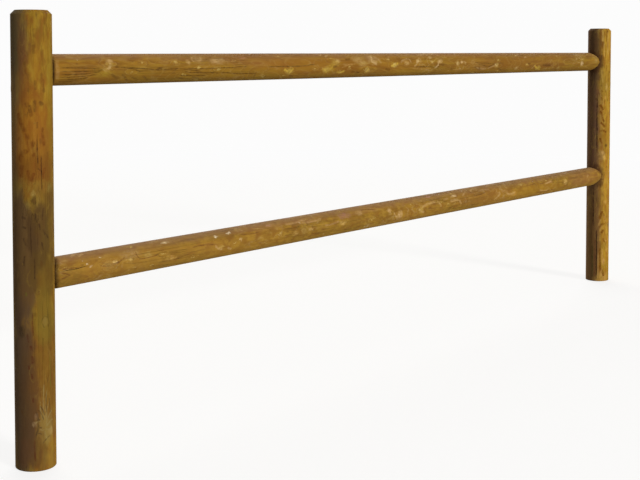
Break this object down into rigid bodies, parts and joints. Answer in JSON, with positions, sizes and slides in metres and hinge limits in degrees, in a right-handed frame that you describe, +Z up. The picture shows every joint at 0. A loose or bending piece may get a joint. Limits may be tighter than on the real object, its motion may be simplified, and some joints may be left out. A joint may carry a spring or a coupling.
{
  "type": "wooden barrier fence",
  "caption": "Bay of post-and-rail barrier fence: turned round timber posts with bevelled tops and round rails whose rounded, hollowed ends seat on the posts, held by hidden dowels.",
  "frame": {"origin": "centre of the left post's foot, on its flat end face", "axes": "+X along the bay from the left post to the right post, +Y to the rear, +Z up"},
  "size_m": [3.1745, 0.1, 1.12],
  "materials": {
    "post_timber": "turned and pressure treated, brown, weathered",
    "rail_timber": "turned and pressure treated, brown, weathered",
    "dowel_hardwood": "turned beech, plain and dry"
  },
  "bodies": {
    "root": {"left_post": "post_timber", "right_post": "post_timber", "upper_rail": "rail_timber", "lower_rail": "rail_timber", "dowel_left_upper": "dowel_hardwood", "dowel_left_lower": "dowel_hardwood", "dowel_right_upper": "dowel_hardwood", "dowel_right_lower": "dowel_hardwood"}
  },
  "joints": []
}
